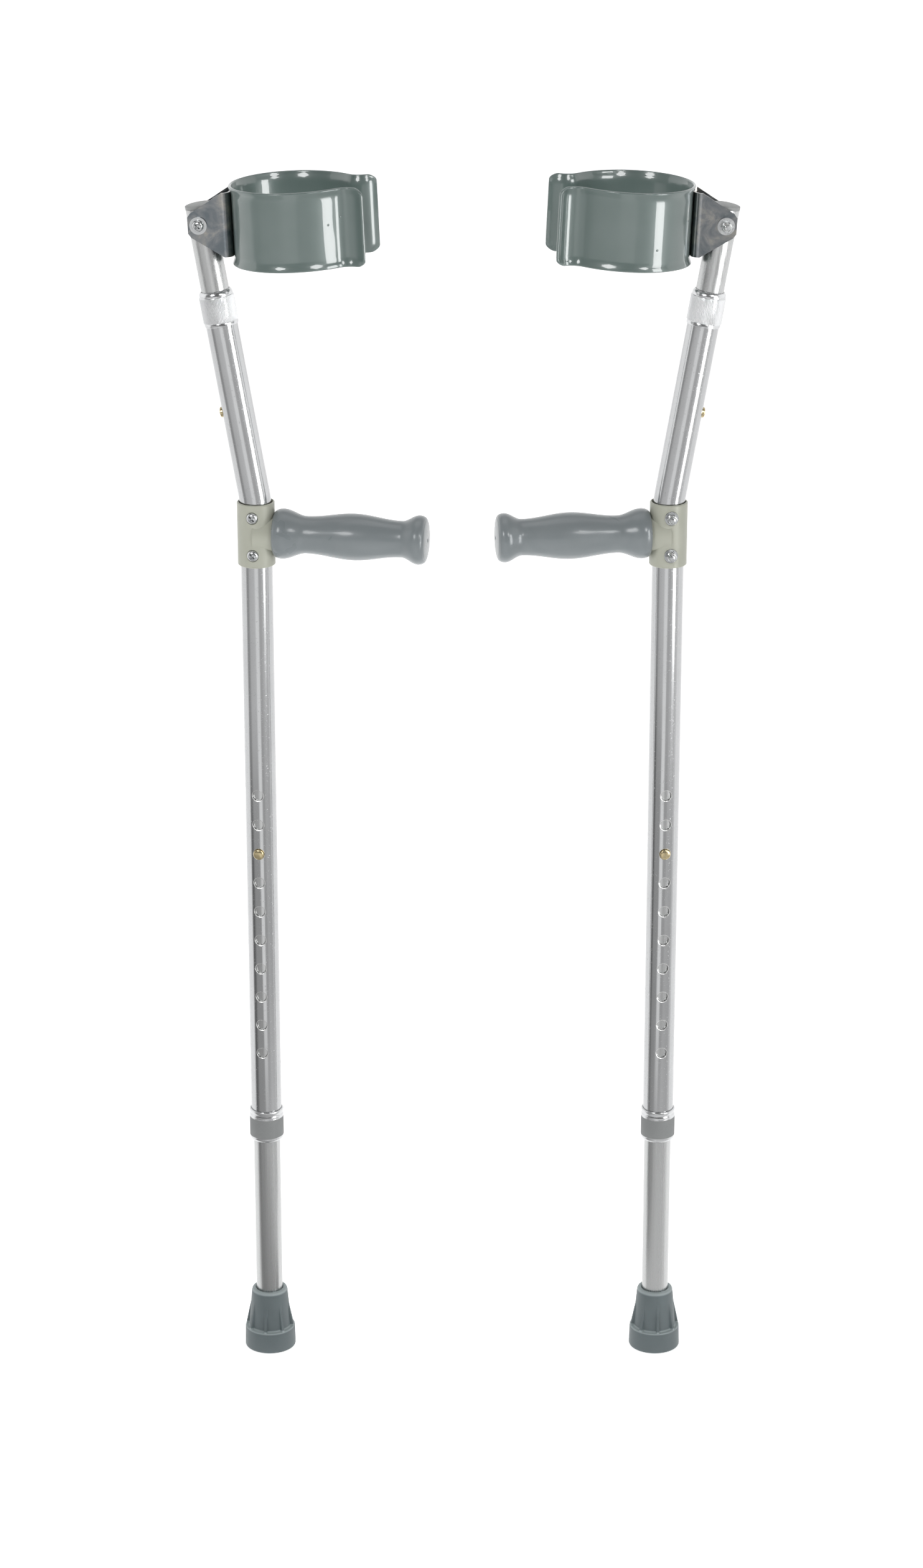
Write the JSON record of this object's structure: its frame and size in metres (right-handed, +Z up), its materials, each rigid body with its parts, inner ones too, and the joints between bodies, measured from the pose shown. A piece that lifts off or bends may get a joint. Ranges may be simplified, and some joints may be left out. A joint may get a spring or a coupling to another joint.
{
  "type": "forearm crutches",
  "caption": "Pair of height-adjustable forearm crutches: telescoping tubes with snap buttons and lock collars, moulded grips, rubber tips and hinged open cuffs.",
  "frame": {"origin": "on the floor, midway between the two tips and under the middle of the pair", "axes": "+Z up, +X from the left crutch to the right crutch, -Y towards the viewer of the picture"},
  "size_m": [0.4334, 0.0987, 1.0122],
  "materials": {
    "anodised_tube": "bright clear-anodised, drawn",
    "inner_tube": "satin clear-anodised, drawn",
    "collar_metal": "turned, bright",
    "bracket_paint": "satin warm-grey paint on steel",
    "stub_steel": "plain tube",
    "grip_vinyl": "moulded soft vinyl, satin",
    "cuff_vinyl": "glossy vinyl dipped on steel",
    "zinc_plate": "zinc-plated sheet and fasteners",
    "button_metal": "dull yellow-grey plated",
    "spring_steel": "bent strip",
    "nylon": "moulded natural nylon",
    "tip_rubber": "moulded matte blue-grey rubber",
    "cap_plastic": "moulded grey plastic"
  },
  "bodies": {
    "left_leg": {"left_leg_tube": "inner_tube", "left_leg_clip_spring": "spring_steel", "left_rubber_tip": "tip_rubber", "left_tip_washer": "zinc_plate"},
    "left_frame": {"left_main_tube": "anodised_tube", "left_handle_bracket": "bracket_paint", "left_handle_core": "stub_steel", "left_hand_grip": "grip_vinyl", "left_bracket_screws": "zinc_plate", "left_bracket_washers": "zinc_plate", "left_bracket_nuts": "zinc_plate", "left_leg_bushing": "nylon", "left_forearm_bushing": "nylon"},
    "left_front_button": {"left_leg_button_front": "button_metal"},
    "left_rear_button": {"left_leg_button_rear": "button_metal"},
    "left_lower_collar": {"left_leg_lock_collar": "collar_metal"},
    "left_upper_collar": {"left_forearm_lock_collar": "collar_metal"},
    "left_forearm": {"left_forearm_tube": "inner_tube", "left_forearm_clip_spring": "spring_steel", "left_forearm_end_cap": "cap_plastic"},
    "left_back_button": {"left_forearm_button": "button_metal"},
    "left_cuff_unit": {"left_cuff": "cuff_vinyl", "left_cuff_bracket": "zinc_plate", "left_cuff_rivets": "zinc_plate", "left_pivot_screw": "zinc_plate", "left_pivot_nut": "zinc_plate", "left_pivot_washers": "zinc_plate", "left_pivot_spacers": "nylon"},
    "right_leg": {"right_leg_tube": "inner_tube", "right_leg_clip_spring": "spring_steel", "right_rubber_tip": "tip_rubber", "right_tip_washer": "zinc_plate"},
    "right_frame": {"right_main_tube": "anodised_tube", "right_handle_bracket": "bracket_paint", "right_handle_core": "stub_steel", "right_hand_grip": "grip_vinyl", "right_bracket_screws": "zinc_plate", "right_bracket_washers": "zinc_plate", "right_bracket_nuts": "zinc_plate", "right_leg_bushing": "nylon", "right_forearm_bushing": "nylon"},
    "right_front_button": {"right_leg_button_front": "button_metal"},
    "right_rear_button": {"right_leg_button_rear": "button_metal"},
    "right_lower_collar": {"right_leg_lock_collar": "collar_metal"},
    "right_upper_collar": {"right_forearm_lock_collar": "collar_metal"},
    "right_forearm": {"right_forearm_tube": "inner_tube", "right_forearm_clip_spring": "spring_steel", "right_forearm_end_cap": "cap_plastic"},
    "right_back_button": {"right_forearm_button": "button_metal"},
    "right_cuff_unit": {"right_cuff": "cuff_vinyl", "right_cuff_bracket": "zinc_plate", "right_cuff_rivets": "zinc_plate", "right_pivot_screw": "zinc_plate", "right_pivot_nut": "zinc_plate", "right_pivot_washers": "zinc_plate", "right_pivot_spacers": "nylon"}
  },
  "joints": [
    {"name": "left_height", "type": "slide", "parent": "left_leg", "child": "left_frame", "axis": [0, 0, 1], "range_m": [-0.0508, 0.1778], "deforming": ["left_leg_clip_spring", "left_leg_button_front", "left_leg_button_rear"]},
    {"name": "left_front_button_press", "type": "slide", "parent": "left_leg", "child": "left_front_button", "axis": [0.165, 0.9863, 0], "range_m": [0, 0.0036], "stiffness_N_per_m": 1500, "springref_m": -0.003, "deforming": ["left_leg_clip_spring"]},
    {"name": "left_rear_button_press", "type": "slide", "parent": "left_leg", "child": "left_rear_button", "axis": [-0.165, -0.9863, 0], "range_m": [0, 0.0036], "stiffness_N_per_m": 1500, "springref_m": -0.003, "deforming": ["left_leg_clip_spring"]},
    {"name": "left_lower_collar_turn", "type": "hinge", "parent": "left_frame", "child": "left_lower_collar", "pos_m": [-0.1643, 0.005, 0.204], "axis": [0, 0, 1], "range_deg": [0, 270]},
    {"name": "left_upper_collar_turn", "type": "hinge", "parent": "left_frame", "child": "left_upper_collar", "pos_m": [-0.19181, 0.0096, 0.91233], "axis": [-0.1679, 0.0281, 0.9854], "range_deg": [0, 270]},
    {"name": "left_forearm_height", "type": "slide", "parent": "left_frame", "child": "left_forearm", "axis": [-0.1679, 0.0281, 0.9854], "range_m": [0, 0.0508], "deforming": ["left_forearm_clip_spring", "left_forearm_button"]},
    {"name": "left_back_button_press", "type": "slide", "parent": "left_forearm", "child": "left_back_button", "axis": [0.9719, -0.1626, 0.1702], "range_m": [0, 0.0036], "stiffness_N_per_m": 1500, "springref_m": -0.003, "deforming": ["left_forearm_clip_spring"]},
    {"name": "left_cuff_pivot", "type": "hinge", "parent": "left_forearm", "child": "left_cuff_unit", "pos_m": [-0.20255, 0.0114, 0.97539], "axis": [-0.165, -0.9863, 0], "range_deg": [-10, 80]},
    {"name": "right_crutch_lift", "type": "slide", "parent": "left_leg", "child": "right_leg", "axis": [0, 0, 1], "range_m": [0, 0.3]},
    {"name": "right_height", "type": "slide", "parent": "right_leg", "child": "right_frame", "axis": [0, 0, 1], "range_m": [-0.0508, 0.1778], "deforming": ["right_leg_clip_spring", "right_leg_button_front", "right_leg_button_rear"]},
    {"name": "right_front_button_press", "type": "slide", "parent": "right_leg", "child": "right_front_button", "axis": [0.1167, -0.9932, 0], "range_m": [0, 0.0036], "stiffness_N_per_m": 1500, "springref_m": -0.003, "deforming": ["right_leg_clip_spring"]},
    {"name": "right_rear_button_press", "type": "slide", "parent": "right_leg", "child": "right_rear_button", "axis": [-0.1167, 0.9932, 0], "range_m": [0, 0.0036], "stiffness_N_per_m": 1500, "springref_m": -0.003, "deforming": ["right_leg_clip_spring"]},
    {"name": "right_lower_collar_turn", "type": "hinge", "parent": "right_frame", "child": "right_lower_collar", "pos_m": [0.1656, 0.005, 0.204], "axis": [0, 0, 1], "range_deg": [0, 270]},
    {"name": "right_upper_collar_turn", "type": "hinge", "parent": "right_frame", "child": "right_upper_collar", "pos_m": [0.1933, 0.00825, 0.91233], "axis": [0.169, 0.0199, 0.9854], "range_deg": [0, 270]},
    {"name": "right_forearm_height", "type": "slide", "parent": "right_frame", "child": "right_forearm", "axis": [0.169, 0.0199, 0.9854], "range_m": [0, 0.0508], "deforming": ["right_forearm_clip_spring", "right_forearm_button"]},
    {"name": "right_back_button_press", "type": "slide", "parent": "right_forearm", "child": "right_back_button", "axis": [-0.9787, -0.115, 0.1702], "range_m": [0, 0.0036], "stiffness_N_per_m": 1500, "springref_m": -0.003, "deforming": ["right_forearm_clip_spring"]},
    {"name": "right_cuff_pivot", "type": "hinge", "parent": "right_forearm", "child": "right_cuff_unit", "pos_m": [0.20412, 0.00953, 0.97539], "axis": [-0.1167, 0.9932, 0], "range_deg": [-10, 80]}
  ]
}
